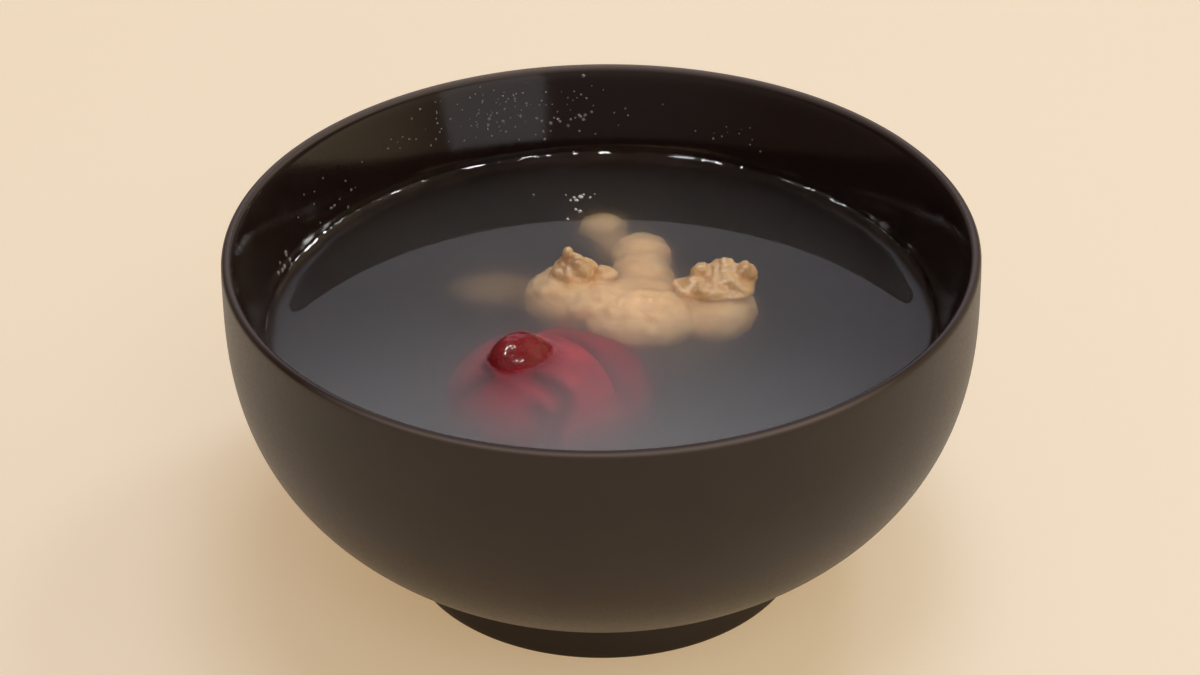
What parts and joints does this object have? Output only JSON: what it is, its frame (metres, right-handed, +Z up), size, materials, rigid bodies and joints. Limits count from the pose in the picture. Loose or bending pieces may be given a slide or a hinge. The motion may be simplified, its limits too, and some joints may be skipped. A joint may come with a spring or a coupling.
{
  "type": "bowl of miso soup",
  "caption": "Dark turned soup bowl on a ring foot, filled with cloudy miso broth that holds a sunken pickled plum and a crumbly lump of miso paste.",
  "frame": {"origin": "middle of the foot ring's underside, on the surface the bowl stands on", "axes": "+Z up out of the bowl; the plum lies towards -X and -Y, and the paste towards +X and +Y"},
  "size_m": [0.1184, 0.1184, 0.057],
  "materials": {
    "bowl": "dark brown lacquered wood, satin outside and glossy inside",
    "broth": null,
    "plum": null,
    "paste": null
  },
  "bodies": {
    "root": {"bowl": "bowl", "soup": "broth", "pickled_plum": "plum", "miso_paste": "paste"}
  },
  "joints": []
}
